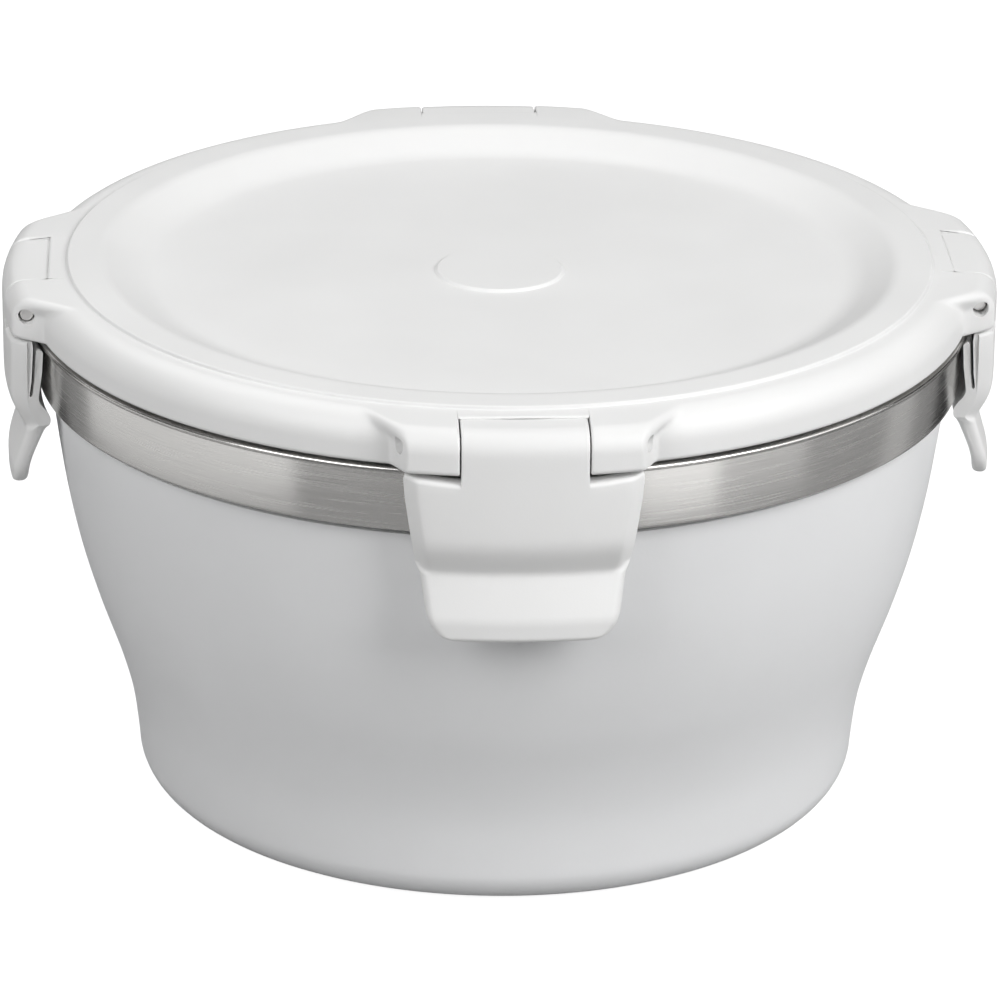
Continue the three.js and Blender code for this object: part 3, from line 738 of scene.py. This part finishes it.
def softbox(name, bearing, rise, power, size=0.9):
    """A square lamp that faces the bowl from LAMP_AWAY metres. The bearing is counted in degrees
    from the front to the right, and the rise is its angle above the floor."""
    lamp = bpy.data.lights.new(name, "AREA")
    lamp.shape, lamp.size, lamp.energy = "SQUARE", size, power
    box = bpy.data.objects.new(name, lamp)
    bpy.context.scene.collection.objects.link(box)
    turn, lean = math.radians(bearing), math.radians(rise)
    box.location = (LAMP_AWAY * math.sin(turn) * math.cos(lean),
                    -LAMP_AWAY * math.cos(turn) * math.cos(lean),
                    AIM_HEIGHT + LAMP_AWAY * math.sin(lean))
    box.rotation_euler = (math.pi / 2 - lean, 0, turn)
    print(name, "gives", power, "W")


softbox("key_right", 48, 36, 16.2)
softbox("left_front", -50, 35, 11.3)
softbox("right_side", 85, 30, 4.8)
softbox("back_left", -150, 50, 7.2)

# %% [markdown]
# ## What the steel mirrors
# Bare metal shows hardly any colour of its own: it shows what stands round it, and a band that
# mirrors only white looks flat. A photographer sets cards and small lamps out of the
# picture. Here a grey card lies round the bowl, a black card stands behind each side, and low
# strip lamps make the bright stretches. Camera and diffuse rays don't see them, and the cards
# cast no shadow, so they work in reflections only.

# %% Cards and strip lamps for the steel band
CARD_HALF, CARD_LIFT, CARD_GREY, CARD_BLACK = 0.9, 0.0002, 0.32, 0.015


def card(name, corners, grey):
    """A flat card with four corners that shows in reflections only."""
    mesh = bpy.data.meshes.new(name)
    mesh.from_pydata(corners, [], [(0, 1, 2, 3)])
    mesh.materials.append(finish(name, (grey, grey, grey), 0.9)[0])
    sheet = bpy.data.objects.new(name, mesh)
    bpy.context.scene.collection.objects.link(sheet)
    sheet.visible_camera = sheet.visible_diffuse = sheet.visible_shadow = False
    print(name, "has the grey", grey)


def flag(name, across, near, far, top):
    """A black card that stands upright beside the bowl."""
    card(name, [(across, near, 0), (across, far, 0), (across, far, top), (across, near, top)],
         CARD_BLACK)


def strip(name, start, stop, glow, low, high):
    """A low lamp between two floor points, facing the bowl. Its power is glow x pi x its area, so
    that the glow is the brightness that the steel mirrors."""
    start, stop = np.array(start), np.array(stop)
    along = stop - start
    length, tall = float(np.linalg.norm(along)), high - low
    lamp = bpy.data.lights.new(name, "AREA")
    lamp.shape, lamp.size, lamp.size_y = "RECTANGLE", length, tall
    lamp.energy = glow * math.pi * length * tall
    box = bpy.data.objects.new(name, lamp)
    bpy.context.scene.collection.objects.link(box)
    centre = (start + stop) / 2
    box.location = (*centre, (low + high) / 2)
    box.rotation_euler = (math.pi / 2, 0, math.atan2(along[1], along[0]))
    box.visible_camera = box.visible_diffuse = False
    print(name, "glows at", glow)


card("grey_card", lying_square(CARD_HALF, CARD_LIFT), CARD_GREY)
flag("flag_left", -0.14, 0.040, 0.3, 0.2)
flag("flag_right", 0.14, 0.028, 0.3, 0.2)
strip("strip_left", (-0.157, 0.014), (-0.118, -0.1355), 0.54, 0.04, 0.12)
strip("strip_front_right", (0.069, -0.169), (0.1128, -0.139), 0.8, 0.035, 0.12)
strip("strip_right", (0.1128, -0.139), (0.147, -0.091), 0.27, 0.04, 0.12)
strip("strip_far_right", (0.1415, -0.029), (0.140, -0.005), 0.24, 0.0, 0.09)

# %% [markdown]
# ## The camera
# The photograph was taken from a little above, with a long lens, nearly straight at the front
# latch. The place, the aim and the slight roll follow from the ellipses of the lid and the base.

# %% Camera
BEARING, PITCH, ROLL = math.radians(3.07), math.radians(21.98), math.radians(0.603)
CAMERA_PLACE, LENS, SENSOR = (-0.05492, -1.03333, 0.46923), 216.97, 36.0
forward = np.array([math.sin(BEARING) * math.cos(PITCH), math.cos(BEARING) * math.cos(PITCH),
                    -math.sin(PITCH)])
level_right = np.cross(forward, (0, 0, 1))
level_right /= np.linalg.norm(level_right)
level_up = np.cross(level_right, forward)
image_right = math.cos(ROLL) * level_right + math.sin(ROLL) * level_up
image_up = math.cos(ROLL) * level_up - math.sin(ROLL) * level_right
camera = bpy.data.objects.new("camera", bpy.data.cameras.new("camera"))
bpy.context.scene.collection.objects.link(camera)
pose = np.eye(4)
pose[:3, :3] = np.stack([image_right, image_up, -forward], axis=1)
pose[:3, 3] = CAMERA_PLACE
camera.matrix_world = Matrix(pose.tolist())
camera.data.sensor_width, camera.data.lens = SENSOR, LENS
camera.data.clip_start, camera.data.clip_end = 0.05, 20
bpy.context.scene.camera = camera
bpy.context.scene.view_settings.view_transform = "Standard"
print("camera stands", round(float(np.linalg.norm(CAMERA_PLACE)), 3), "m from the base")
